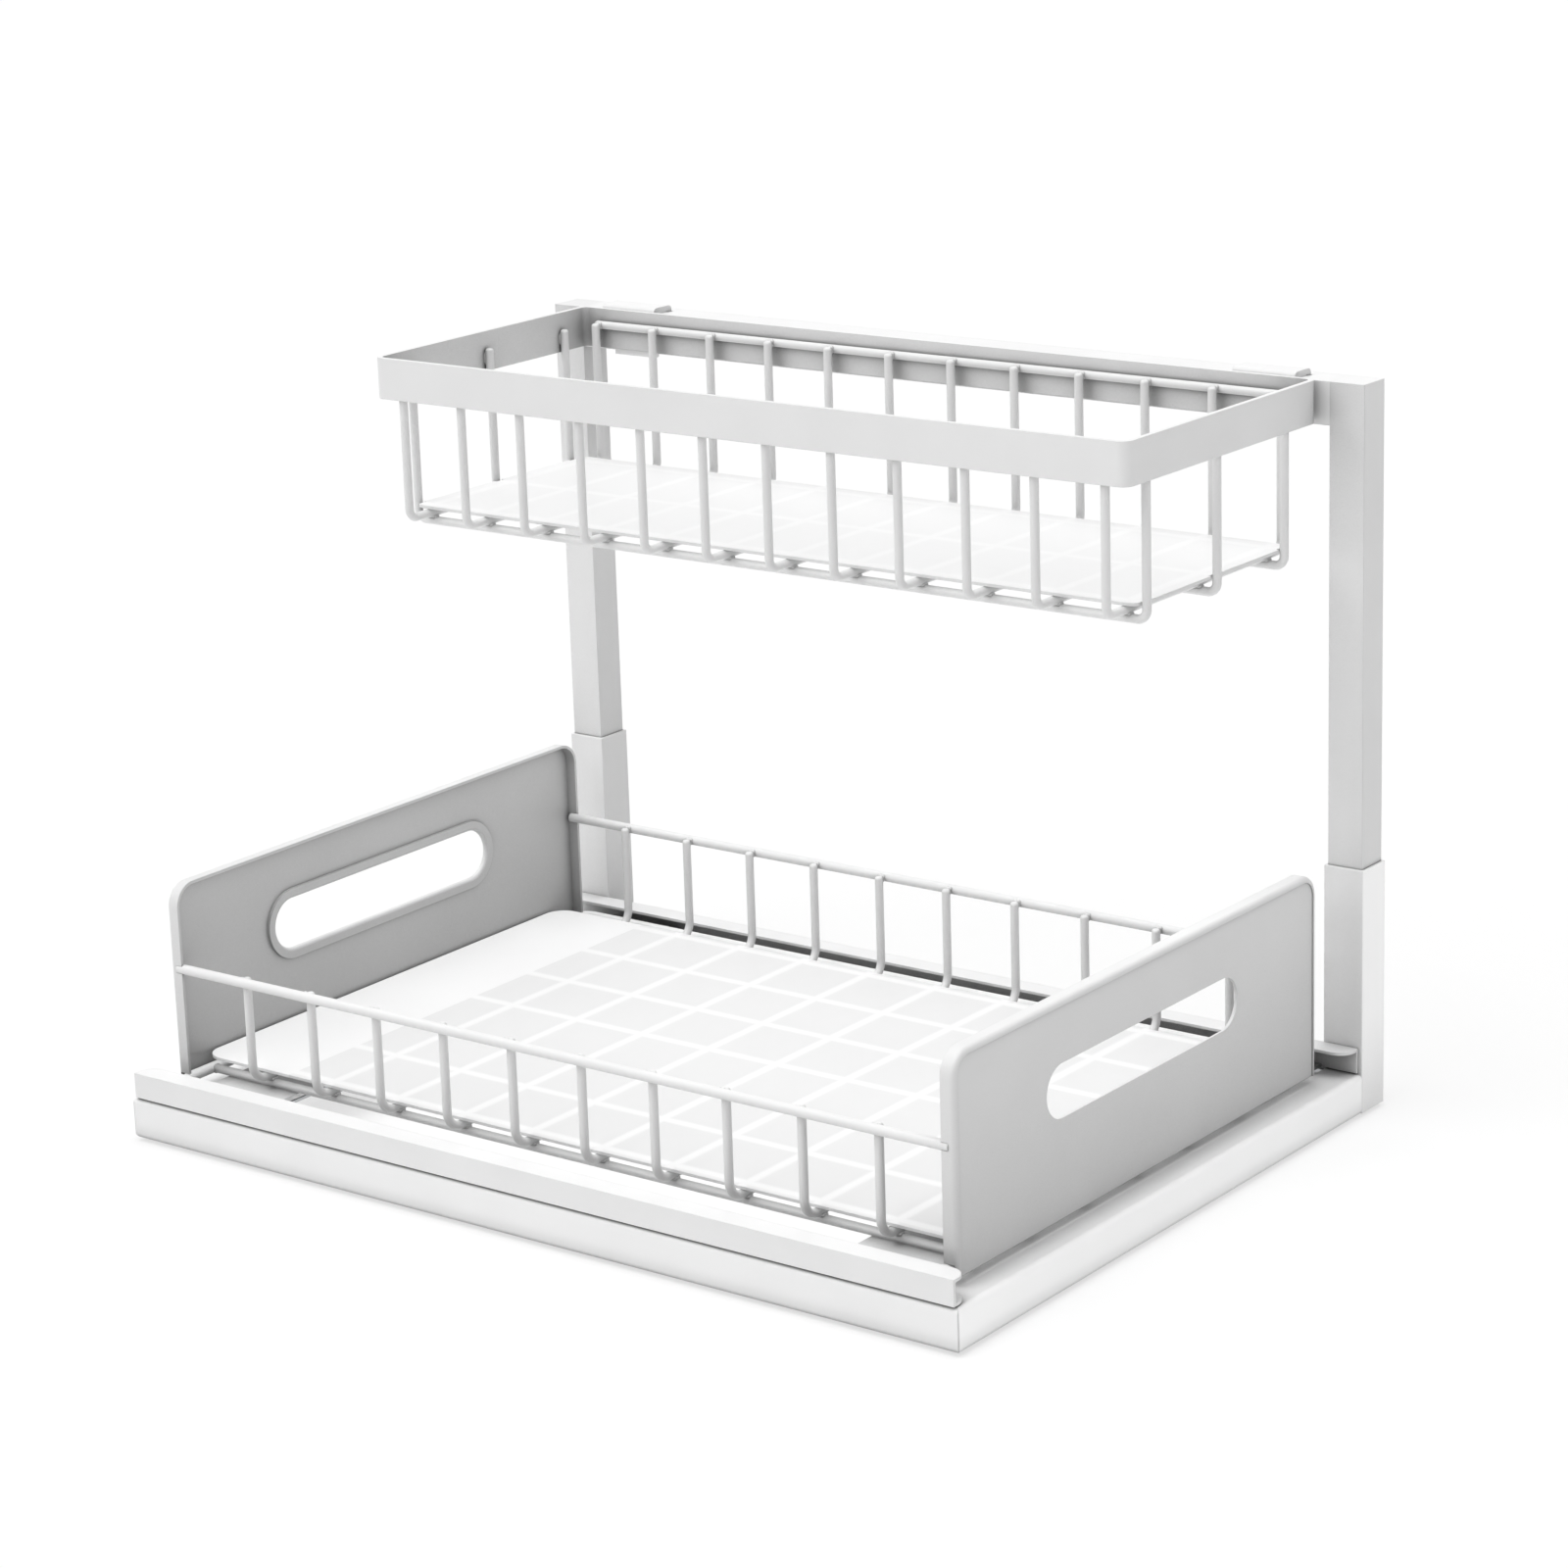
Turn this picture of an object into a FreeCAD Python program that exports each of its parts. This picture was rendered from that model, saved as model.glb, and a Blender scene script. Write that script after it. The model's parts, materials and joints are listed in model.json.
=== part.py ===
import FreeCAD, Part
import math
import os
import Sketcher
from FreeCAD import Placement, Rotation, Vector

# Two-tier under sink organizer in white steel. A floor frame of square tube carries a pull-out
# carriage with a drop-in wire tray, and two posts plugged into its rear corners carry a crossbar
# from which a wire basket hangs. Millimetres, +Z up, the front looks along -Y, floor at Z zero.

doc = FreeCAD.newDocument("under_sink_organizer")
sheet = doc.addObject("Spreadsheet::Sheet", "sizes")


class Length:
    """A length known both as a number and as an expression over the cells of the sheet."""

    def __init__(self, text, value):
        self.text = text
        self.value = value

    def joined(self, sign, other, value):
        return Length("(%s %s %s)" % (self.text, sign, text_of(other)), value)

    def __add__(self, other):
        return self.joined("+", other, self.value + value_of(other))

    def __sub__(self, other):
        return self.joined("-", other, self.value - value_of(other))

    def __mul__(self, other):
        return self.joined("*", other, self.value * value_of(other))

    def __truediv__(self, other):
        return self.joined("/", other, self.value / value_of(other))

    def __neg__(self):
        return Length("(-%s)" % self.text, -self.value)


def text_of(item):
    return item.text if isinstance(item, Length) else "(%s)" % item


def value_of(item):
    return item.value if isinstance(item, Length) else item


def size(alias, value):
    """Put one driving size in the sheet and hand it back as a length."""
    size.row += 1
    cell = "B%d" % size.row
    sheet.set("A%d" % size.row, alias.replace("_", " "))
    sheet.set(cell, str(value))
    sheet.setAlias(cell, alias)
    return Length("sizes." + alias, value)


size.row = 0
ZERO = Length("0", 0)

# floor frame
base_width = size("base_width", 400.0)
base_depth = size("base_depth", 298.0)
foot_height = size("foot_height", 1.0)
foot_side = size("foot_side", 8.0)
rail_height = size("rail_height", 17.0)
rail_width = size("rail_width", 17.5)
rail_wall = size("rail_wall", 1.2)
rail_round = size("rail_round", 2.2)
sleeve_height = size("sleeve_height", 101.0)
sleeve_lift = size("sleeve_lift", 0.6)
sleeve_wall = size("sleeve_wall", 1.0)
sleeve_round = size("sleeve_round", 0.4)
cut_overrun = size("cut_overrun", 1.0)
seat_gap = size("seat_gap", 0.3)

# posts and crossbar
frame_height = size("frame_height", 292.8)
crossbar_height = size("crossbar_height", 17.0)
post_clearance = size("post_clearance", 0.2)
post_wall = size("post_wall", 1.0)
plug_depth = size("plug_depth", 60.0)
stop_height = size("stop_height", 6.0)

# pull-out carriage
carriage_gap = size("carriage_gap", 0.5)
carriage_hold = size("carriage_hold", 118.0)
bar_inset = size("bar_inset", 1.65)
bar_height = size("bar_height", 10.2)
bar_depth = size("bar_depth", 9.5)
bar_sheet = size("bar_sheet", 1.2)
bar_round = size("bar_round", 7.0)
runner_inset = size("runner_inset", 22.0)
runner_width = size("runner_width", 38.0)
runner_sheet = size("runner_sheet", 1.8)
rivet_radius = size("rivet_radius", 1.5)
rivet_head_radius = size("rivet_head_radius", 2.5)
rivet_head_height = size("rivet_head_height", 0.8)
rivet_clearance = size("rivet_clearance", 0.1)
rivet_pitch = size("rivet_pitch", 24.0)

# rollers, brackets and tracks
track_height = size("track_height", 14.4)
track_depth = size("track_depth", 12.0)
track_sheet = size("track_sheet", 1.2)
track_stop = size("track_stop", 3.0)
axle_radius = size("axle_radius", 1.5)
axle_head_radius = size("axle_head_radius", 2.5)
axle_head = size("axle_head", 1.0)
axle_clearance = size("axle_clearance", 0.05)
roller_side_gap = size("roller_side_gap", 0.5)
front_roller_radius = size("front_roller_radius", 5.5)
front_roller_width = size("front_roller_width", 10.0)
front_roller_setback = size("front_roller_setback", 2.0)
rear_roller_width = size("rear_roller_width", 6.0)
rear_roller_setback = size("rear_roller_setback", 41.0)
bracket_sheet = size("bracket_sheet", 1.5)
bracket_length = size("bracket_length", 16.0)
bracket_height = size("bracket_height", 12.0)
bracket_foot = size("bracket_foot", 10.0)
bracket_rivet_pitch = size("bracket_rivet_pitch", 8.0)

# drop-in tray
tray_inset = size("tray_inset", 10.9)
tray_front = size("tray_front", 15.6)
tray_rear = size("tray_rear", 34.7)
panel_top = size("panel_top", 104.8)
panel_sheet = size("panel_sheet", 1.2)
panel_round = size("panel_round", 9.5)
panel_foot = size("panel_foot", 0.4)
panel_bend = size("panel_bend", 1.9)
rim_depth = size("rim_depth", 5.8)
field_edge = size("field_edge", 2.4)
field_drop = size("field_drop", 0.5)
handle_length = size("handle_length", 131.0)
handle_height = size("handle_height", 21.0)
handle_level = size("handle_level", 70.2)
collar_width = size("collar_width", 4.2)
collar_depth = size("collar_depth", 1.3)
collar_roll = size("collar_roll", 1.4)
ring_gauge = size("ring_gauge", 4.4)
ring_overhang = size("ring_overhang", 5.3)
ring_round = size("ring_round", 6.6)
wire_gauge = size("wire_gauge", 3.5)
wire_bend = size("wire_bend", 7.0)
tip_round = size("tip_round", 1.1)
floor_wire_edge = size("floor_wire_edge", 35.035)
tray_cross_edge = size("tray_cross_edge", 15.85)
fence_gauge = size("fence_gauge", 4.0)
fence_level = size("fence_level", 70.0)
fence_proud = size("fence_proud", 0.5)
weld_gap = size("weld_gap", 0.1)
lower_mat_edge = size("lower_mat_edge", 11.85)
mat_sheet = size("mat_sheet", 1.2)
mat_round = size("mat_round", 9.0)
mat_clearance = size("mat_clearance", 1.0)

# hanging basket
band_inset = size("band_inset", 19.7)
band_depth = size("band_depth", 135.0)
band_height = size("band_height", 16.7)
band_sheet = size("band_sheet", 2.2)
band_round = size("band_round", 4.7)
band_rise = size("band_rise", 1.2)
basket_drop = size("basket_drop", 66.2)
basket_wire_edge = size("basket_wire_edge", 12.0)
basket_cross_edge = size("basket_cross_edge", 18.65)
basket_tip_drop = size("basket_tip_drop", 7.0)
basket_bend = size("basket_bend", 4.0)
basket_rail_gauge = size("basket_rail_gauge", 3.4)
basket_rail_rise = size("basket_rail_rise", 0.3)
basket_rail_edge = size("basket_rail_edge", 10.3)
upper_mat_end = size("upper_mat_end", 5.1)
upper_mat_edge = size("upper_mat_edge", 13.0)
upper_mat_shift = size("upper_mat_shift", 3.3)
upper_mat_round = size("upper_mat_round", 5.0)
notch_clearance = size("notch_clearance", 0.6)
hook_edge = size("hook_edge", 24.2)
hook_width = size("hook_width", 27.8)
hook_sheet = size("hook_sheet", 2.4)
hook_bend = size("hook_bend", 2.0)
hook_clearance = size("hook_clearance", 0.3)
hook_slot_clearance = size("hook_slot_clearance", 0.6)
hook_reach = size("hook_reach", 9.4)
hook_tab_width = size("hook_tab_width", 21.8)
hook_tab_drop = size("hook_tab_drop", 2.7)
hook_drop = size("hook_drop", 10.0)

FLOOR_WIRES = 10
TRAY_CROSS_WIRES = 7
BASKET_WIRES = 12
BASKET_CROSS_WIRES = 3
SIDES = (("left", -1), ("right", 1))

# an edge counts as a top edge above this part of the height, and as upright past this part of straight up
top_edge_share = 0.9
upright_share = 0.9

doc.recompute()

# levels and positions that follow from the sizes
half_width = base_width / 2
front_face = -base_depth / 2
rear_face = base_depth / 2
rail_inner = half_width - rail_width
front_inner = front_face + rail_width
rear_inner = rear_face - rail_width
rail_top = foot_height + rail_height
rail_middle = foot_height + rail_height / 2
sleeve_top = foot_height + sleeve_height
sleeve_bore = rail_width - sleeve_wall * 2
post_inset = sleeve_wall + post_clearance
post_side = rail_width - post_inset * 2
post_inner = half_width - post_inset - post_side
post_front = rear_inner + post_inset
post_bottom = sleeve_top - plug_depth
frame_top = foot_height + frame_height

bar_bottom = rail_top + carriage_gap
bar_length = base_width - bar_inset * 2
carriage_rear = rear_inner - seat_gap
carriage_travel = base_depth - carriage_hold
runner_bottom = bar_bottom + bar_sheet
runner_top = runner_bottom + runner_sheet
runner_middle = half_width - runner_inset - runner_width / 2
runner_front = front_face + bar_sheet
runner_length = carriage_rear - bar_sheet - runner_front

tray_width = base_width - tray_inset * 2
tray_half = tray_width / 2
panel_depth = base_depth - tray_front - tray_rear
panel_front = front_face + tray_front
tray_middle = panel_front + panel_depth / 2
ring_level = runner_top + seat_gap + ring_gauge / 2
floor_level = ring_level + wire_gauge
ring_top = ring_level + ring_gauge / 2
panel_bottom = ring_level - ring_gauge / 2 - panel_foot
panel_height = panel_top - panel_bottom
panel_inner = tray_half - panel_sheet
fence_offset = panel_depth / 2 - fence_gauge / 2 + fence_proud
floor_span = (fence_offset - fence_gauge / 2) * 2 - wire_gauge
floor_pitch = (panel_inner - floor_wire_edge) * 2 / (FLOOR_WIRES - 1)
tray_cross_pitch = (panel_depth - tray_cross_edge * 2) / (TRAY_CROSS_WIRES - 1)
lower_mat_width = (panel_inner - mat_clearance) * 2
lower_mat_depth = panel_depth - lower_mat_edge * 2

band_width = base_width - band_inset * 2
band_rear = post_front - hook_clearance - hook_sheet
band_front = band_rear - band_depth
band_middle = band_rear - band_depth / 2
band_top = frame_top + band_rise
basket_floor = band_top - basket_drop
basket_cross_level = basket_floor - wire_gauge
basket_tip = band_top - basket_tip_drop
basket_rail = basket_tip + basket_rail_rise
basket_rail_length = band_width - basket_rail_edge * 2
basket_pitch = (band_width - basket_wire_edge * 2) / (BASKET_WIRES - 1)
basket_cross_pitch = (band_depth - basket_cross_edge * 2) / (BASKET_CROSS_WIRES - 1)
upper_mat_width = band_width - upper_mat_end * 2
upper_mat_depth = band_depth - upper_mat_edge * 2
hook_pitch = band_width - hook_edge * 2

nodes = []


def bind(thing, path, length):
    thing.setExpression(path, text_of(length))


def place(thing, x, y, z, rotation=None):
    """Set the rotation and tie the three coordinates of the placement to the sheet."""
    thing.Placement = Placement(Vector(0, 0, 0), rotation or Rotation())
    for axis, length in (("x", x), ("y", y), ("z", z)):
        bind(thing, "Placement.Base." + axis, length)
    return thing


def keep(thing, label):
    """Register a finished sub-part under the name of its file."""
    thing.Label = label
    nodes.append(thing)
    return thing


def box(name, x, y, z, length, width, height, rotation=None):
    piece = doc.addObject("Part::Box", name)
    bind(piece, "Length", length)
    bind(piece, "Width", width)
    bind(piece, "Height", height)
    return place(piece, x, y, z, rotation)


ALONG_X = Rotation(Vector(0, 1, 0), 90)
ALONG_Y = Rotation(Vector(1, 0, 0), -90)
ALONG_Z = Rotation()
HALF_TURN = Rotation(Vector(0, 0, 1), 180)
QUARTER_TURN = Rotation(Vector(0, 0, 1), 90)


def rod(name, x, y, z, radius, length, direction):
    piece = doc.addObject("Part::Cylinder", name)
    bind(piece, "Radius", radius)
    bind(piece, "Height", length)
    return place(piece, x, y, z, direction)


def cut(name, base, *tools):
    """Take the tools from the base one after the other; the last result bears the name."""
    result = base
    for number, tool in enumerate(tools, 1):
        piece = doc.addObject("Part::Cut", name if number == len(tools) else "%s_cut_%d" % (name, number))
        piece.Base = result
        piece.Tool = tool
        result = piece
    return result


def fuse(name, *pieces):
    joined = doc.addObject("Part::MultiFuse", name)
    joined.Shapes = list(pieces)
    return joined


def group(name, pieces):
    held = doc.addObject("Part::Compound", name)
    held.Links = list(pieces)
    return held


def tube(name, x, y, z, length, width, height, wall, along):
    """A square tube, open at both ends of the axis named by along."""
    outer = box(name + "_outer", x, y, z, length, width, height)
    start = {"x": x, "y": y, "z": z}
    run = {"x": length, "y": width, "z": height}
    for axis in "xyz":
        margin = -cut_overrun if axis == along else wall
        start[axis] = start[axis] + margin
        run[axis] = run[axis] - margin * 2
    inner = box(name + "_inner", start["x"], start["y"], start["z"], run["x"], run["y"], run["z"])
    return cut(name, outer, inner)


def start_body(name):
    return doc.addObject("PartDesign::Body", name)


def start_sketch(body, name, role, offset=ZERO):
    """A sketch on one of the body's own origin planes, moved along the plane's normal."""
    sketch = body.newObject("Sketcher::SketchObject", "%s_%s" % (body.Name, name))
    plane = [item for item in body.Origin.OriginFeatures if item.Role == role][0]
    sketch.AttachmentSupport = (plane, [""])
    sketch.MapMode = "FlatFace"
    bind(sketch, "AttachmentOffset.Base.z", offset)
    return sketch


def dimension(sketch, kind, arguments, length):
    index = sketch.addConstraint(Sketcher.Constraint(kind, *arguments, length.value))
    bind(sketch, "Constraints[%d]" % index, length)


def constrain(sketch, *constraints):
    for arguments in constraints:
        sketch.addConstraint(Sketcher.Constraint(*arguments))


def arc(x, y, radius, quarter_from, quarter_to):
    circle = Part.Circle(Vector(x, y, 0), Vector(0, 0, 1), radius)
    return Part.ArcOfCircle(circle, quarter_from * math.pi / 2, quarter_to * math.pi / 2)


def line(x_from, y_from, x_to, y_to):
    return Part.LineSegment(Vector(x_from, y_from, 0), Vector(x_to, y_to, 0))


def rounded_outline(sketch, width, height, radius):
    """A rectangle with four round corners, centred on the sketch's origin."""
    side, top, r = width.value / 2, height.value / 2, radius.value
    sketch.addGeometry([
        arc(side - r, top - r, r, 0, 1),
        line(side - r, top, r - side, top),
        arc(r - side, top - r, r, 1, 2),
        line(-side, top - r, -side, r - top),
        arc(r - side, r - top, r, 2, 3),
        line(r - side, -top, side - r, -top),
        arc(side - r, r - top, r, 3, 4),
        line(side, r - top, side, top - r),
    ], False)
    for piece in range(8):
        constrain(sketch, ("Tangent", piece, 2, (piece + 1) % 8, 1))
    constrain(sketch, ("Horizontal", 1), ("Horizontal", 5), ("Vertical", 3), ("Vertical", 7))
    constrain(sketch, ("Equal", 0, 2), ("Equal", 0, 4), ("Equal", 0, 6), ("Symmetric", 0, 3, 4, 3, -1, 1))
    dimension(sketch, "Radius", (0,), radius)
    dimension(sketch, "DistanceX", (3, 1, 7, 1), width)
    dimension(sketch, "DistanceY", (5, 1, 1, 1), height)


def arched_outline(sketch, width, below, above, radius):
    """A plate's outline with square lower and round upper corners, set by its reach below and above."""
    side, low, high, r = width.value / 2, -below.value, above.value, radius.value
    sketch.addGeometry([
        line(-side, low, side, low),
        line(side, low, side, high - r),
        arc(side - r, high - r, r, 0, 1),
        line(side - r, high, r - side, high),
        arc(r - side, high - r, r, 1, 2),
        line(-side, high - r, -side, low),
    ], False)
    constrain(sketch, ("Coincident", 5, 2, 0, 1), ("Coincident", 0, 2, 1, 1))
    for piece in range(1, 5):
        constrain(sketch, ("Tangent", piece, 2, piece + 1, 1))
    constrain(sketch, ("Vertical", 1), ("Horizontal", 3), ("Vertical", 5), ("Equal", 2, 4))
    constrain(sketch, ("Symmetric", 0, 1, 0, 2, -2))
    dimension(sketch, "Radius", (2,), radius)
    dimension(sketch, "DistanceX", (0, 1, 0, 2), width)
    dimension(sketch, "DistanceY", (0, 1, -1, 1), below)
    dimension(sketch, "DistanceY", (-1, 1, 3, 1), above)


def slot_outline(sketch, length, height, rise):
    """A slot with full round ends, centred across and raised above the sketch's origin."""
    reach, r, up = (length.value - height.value) / 2, height.value / 2, rise.value
    sketch.addGeometry([
        arc(reach, up, r, 3, 5),
        line(reach, up + r, -reach, up + r),
        arc(-reach, up, r, 1, 3),
        line(-reach, up - r, reach, up - r),
    ], False)
    for piece in range(4):
        constrain(sketch, ("Tangent", piece, 2, (piece + 1) % 4, 1))
    constrain(sketch, ("Horizontal", 1), ("Symmetric", 0, 3, 2, 3, -2))
    dimension(sketch, "Radius", (0,), height / 2)
    dimension(sketch, "DistanceX", (2, 3, 0, 3), length - height)
    dimension(sketch, "DistanceY", (-1, 1, 0, 3), rise)


def oblong_outline(sketch, width, low, depth):
    """A rectangle centred across the sketch, its lower side at the given height."""
    side, bottom, top = width.value / 2, low.value, low.value + depth.value
    sketch.addGeometry([
        line(-side, bottom, side, bottom),
        line(side, bottom, side, top),
        line(side, top, -side, top),
        line(-side, top, -side, bottom),
    ], False)
    for piece in range(4):
        constrain(sketch, ("Coincident", piece, 2, (piece + 1) % 4, 1))
    constrain(sketch, ("Vertical", 1), ("Horizontal", 2), ("Vertical", 3), ("Symmetric", 0, 1, 0, 2, -2))
    dimension(sketch, "DistanceX", (0, 1, 0, 2), width)
    dimension(sketch, "DistanceY", (1, 1, 1, 2), depth)
    if low is ZERO:
        constrain(sketch, ("PointOnObject", 0, 1, -1))
    else:
        dimension(sketch, "DistanceY", (-1, 1, 0, 1), low)


def pad(body, sketch, length):
    feature = body.newObject("PartDesign::Pad", sketch.Name + "_pad")
    feature.Profile = sketch
    bind(feature, "Length", length)
    doc.recompute()
    return feature


def pocket(body, sketch, length=None):
    """Cut against the sketch's normal, through everything when no length is given."""
    feature = body.newObject("PartDesign::Pocket", sketch.Name + "_pocket")
    feature.Profile = sketch
    if length is None:
        feature.Type = "ThroughAll"
    else:
        bind(feature, "Length", length)
    doc.recompute()
    return feature


def round_edges(body, feature, radius, wanted):
    """Fillet those edges of the feature for which wanted says yes."""
    edges = ["Edge%d" % number for number, edge in enumerate(feature.Shape.Edges, 1) if wanted(edge)]
    rounded = body.newObject("PartDesign::Fillet", feature.Name + "_round")
    rounded.Base = (feature, edges)
    bind(rounded, "Radius", radius)
    doc.recompute()
    return rounded


def plate(name, width, depth, height, radius):
    """A flat plate with round corners, standing on its own origin."""
    body = start_body(name)
    outline = start_sketch(body, "outline", "XY_Plane")
    rounded_outline(outline, width, depth, radius)
    pad(body, outline, height)
    return body


def bent_wire(name, span, rise, bend):
    """A U of round wire with rounded tips in the body's YZ plane, its floor centred on the origin."""
    body = start_body(name)
    path = start_sketch(body, "path", "YZ_Plane")
    side, r, top = span.value / 2, bend.value, rise.value
    path.addGeometry([
        line(-side, top, -side, r),
        arc(r - side, r, r, 2, 3),
        line(r - side, 0, side - r, 0),
        arc(side - r, r, r, 3, 4),
        line(side, r, side, top),
    ], False)
    for piece in range(4):
        constrain(path, ("Tangent", piece, 2, piece + 1, 1))
    constrain(path, ("Vertical", 0), ("Horizontal", 2), ("Vertical", 4), ("PointOnObject", 2, 1, -1))
    constrain(path, ("Symmetric", 0, 1, 4, 2, -2), ("Equal", 1, 3))
    dimension(path, "Radius", (1,), bend)
    dimension(path, "DistanceX", (0, 1, 4, 2), span)
    dimension(path, "DistanceY", (-1, 1, 0, 1), rise)
    profile = start_sketch(body, "profile", "XY_Plane", rise)
    bind(profile, "AttachmentOffset.Base.y", -span / 2)
    circle = Part.Circle(Vector(0, 0, 0), Vector(0, 0, 1), wire_gauge.value / 2)
    profile.addGeometry(circle, False)
    constrain(profile, ("Coincident", 0, 3, -1, 1))
    dimension(profile, "Diameter", (0,), wire_gauge)
    pipe = body.newObject("PartDesign::AdditivePipe", name + "_pipe")
    pipe.Profile = profile
    pipe.Spine = (path, ["Edge%d" % number for number in range(1, 6)])
    doc.recompute()
    round_edges(body, pipe, tip_round, lambda edge: edge.BoundBox.ZMin > top * top_edge_share)
    return body


def spread(count, pitch, number):
    """Offset of one of a row of pieces from the middle of the row."""
    return pitch * (number - (count - 1) / 2)


def rail_tube(name, length):
    """A length of square tube with round edges, along the body's X from its origin."""
    body = start_body(name + "_tube")
    outer = start_sketch(body, "outer", "YZ_Plane")
    rounded_outline(outer, rail_width, rail_height, rail_round)
    pad(body, outer, length)
    bore = start_sketch(body, "bore", "YZ_Plane", length)
    rounded_outline(bore, rail_width - rail_wall * 2, rail_height - rail_wall * 2, rail_round - rail_wall)
    pocket(body, bore)
    return body


def mitre_block(name, corner, angle):
    """A block turned about a front corner of the frame, which cuts a tube's end off along the mitre."""
    return box(name, corner, front_face, foot_height - cut_overrun, rail_width * 2, rail_width * 2,
               rail_height + cut_overrun * 2, Rotation(Vector(0, 0, 1), angle))


# floor frame: front bar and side rails meet in mitres, the rear bar runs between the sleeves
rail_line = half_width - rail_width / 2
rail_run = rear_inner - front_face
for label, x, y, length, turn, mitres in (
    ("base_front_bar", -half_width, front_face + rail_width / 2, base_width, ALONG_Z,
     ((-half_width, 45), (half_width, 45))),
    ("base_right_rail", rail_line, front_face, rail_run, QUARTER_TURN, ((half_width, 135),)),
    ("base_left_rail", -rail_line, front_face, rail_run, QUARTER_TURN, ((-half_width, -45),)),
    ("base_rear_bar", -rail_inner, rear_face - rail_width / 2, rail_inner * 2, ALONG_Z, ()),
):
    bar = place(rail_tube(label, length), x, y, rail_middle, turn)
    ends = [mitre_block("%s_mitre_%d" % (label, number), corner, angle)
            for number, (corner, angle) in enumerate(mitres, 1)]
    keep(cut(label, bar, *ends), label)

feet = []
for side, sign in SIDES:
    for end, along in (("front", front_face + rail_width / 2), ("rear", rear_inner - rail_width / 2)):
        middle = rail_line * sign
        feet.append(box("foot_%s_%s" % (end, side), middle - foot_side / 2, along - foot_side / 2, ZERO,
                        foot_side, foot_side, foot_height))
keep(group("base_feet", feet), "base_feet")


def sleeve(name, x):
    """Upright square socket with softened upper outer edges, a little clear of the feet's level."""
    body = start_body(name)
    outer = start_sketch(body, "outer", "XY_Plane")
    rounded_outline(outer, rail_width, rail_width, sleeve_round)
    length = sleeve_height - sleeve_lift
    block = pad(body, outer, length)
    top_edges_from = length.value * top_edge_share
    round_edges(body, block, sleeve_round, lambda edge: edge.CenterOfMass.z > top_edges_from)
    bore = start_sketch(body, "bore", "XY_Plane", length)
    rounded_outline(bore, sleeve_bore, sleeve_bore, sleeve_round)
    pocket(body, bore)
    return place(body, x, rear_face - rail_width / 2, foot_height + sleeve_lift)


for side, sign in SIDES:
    middle = rail_line * sign
    keep(sleeve(side + "_sleeve", middle), side + "_sleeve")
    stop = plate(side + "_post_stop", sleeve_bore, sleeve_bore, stop_height, sleeve_round)
    stop_bottom = post_bottom - seat_gap - stop_height
    keep(place(stop, middle, rear_face - rail_width / 2, stop_bottom), side + "_post_stop")

# tracks on the inner faces of the side rails, open towards the middle, with a front stop inside
rear_roller_radius = (track_height - track_sheet * 2) / 2 - seat_gap
rear_roller_y = rear_face - rear_roller_setback
track_length = rear_inner - front_inner
track_bottom = rail_middle - track_height / 2
stop_rear = rear_roller_y - carriage_travel - rear_roller_radius - seat_gap
for side, sign in SIDES:
    label = side + "_track"
    low = rail_inner - track_depth if sign > 0 else -rail_inner
    shell = box(label + "_shell", low, front_inner, track_bottom, track_depth, track_length, track_height)
    opening_low = low - cut_overrun if sign > 0 else low + track_sheet
    opening = box(label + "_opening", opening_low, front_inner - cut_overrun, track_bottom + track_sheet,
                  track_depth - track_sheet + cut_overrun, track_length + cut_overrun * 2,
                  track_height - track_sheet * 2)
    block = box(label + "_stop", low, stop_rear - track_stop, track_bottom, track_depth, track_stop,
                track_height)
    keep(fuse(label, cut(label + "_channel", shell, opening), block), label)


def headed_axle(name, inner, outer, y, z):
    """A pin along X with a head at each end, between two distances from the middle plane."""
    shank = rod(name + "_shank", inner, y, z, axle_radius, outer - inner, ALONG_X)
    first = rod(name + "_first_head", inner - axle_head, y, z, axle_head_radius, axle_head, ALONG_X)
    second = rod(name + "_second_head", outer, y, z, axle_head_radius, axle_head, ALONG_X)
    return fuse(name, shank, first, second)


def roller(name, low, width, y, z, radius):
    """A plain wheel with a running bore, along X."""
    rim = rod(name + "_rim", low, y, z, radius, width, ALONG_X)
    bore = rod(name + "_bore", low - cut_overrun, y, z, axle_radius + axle_clearance,
               width + cut_overrun * 2, ALONG_X)
    return cut(name, rim, bore)


def low_side(sign, near, far):
    """The lower X of a span that lies between two distances from the middle plane."""
    return near if sign > 0 else -far


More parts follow.
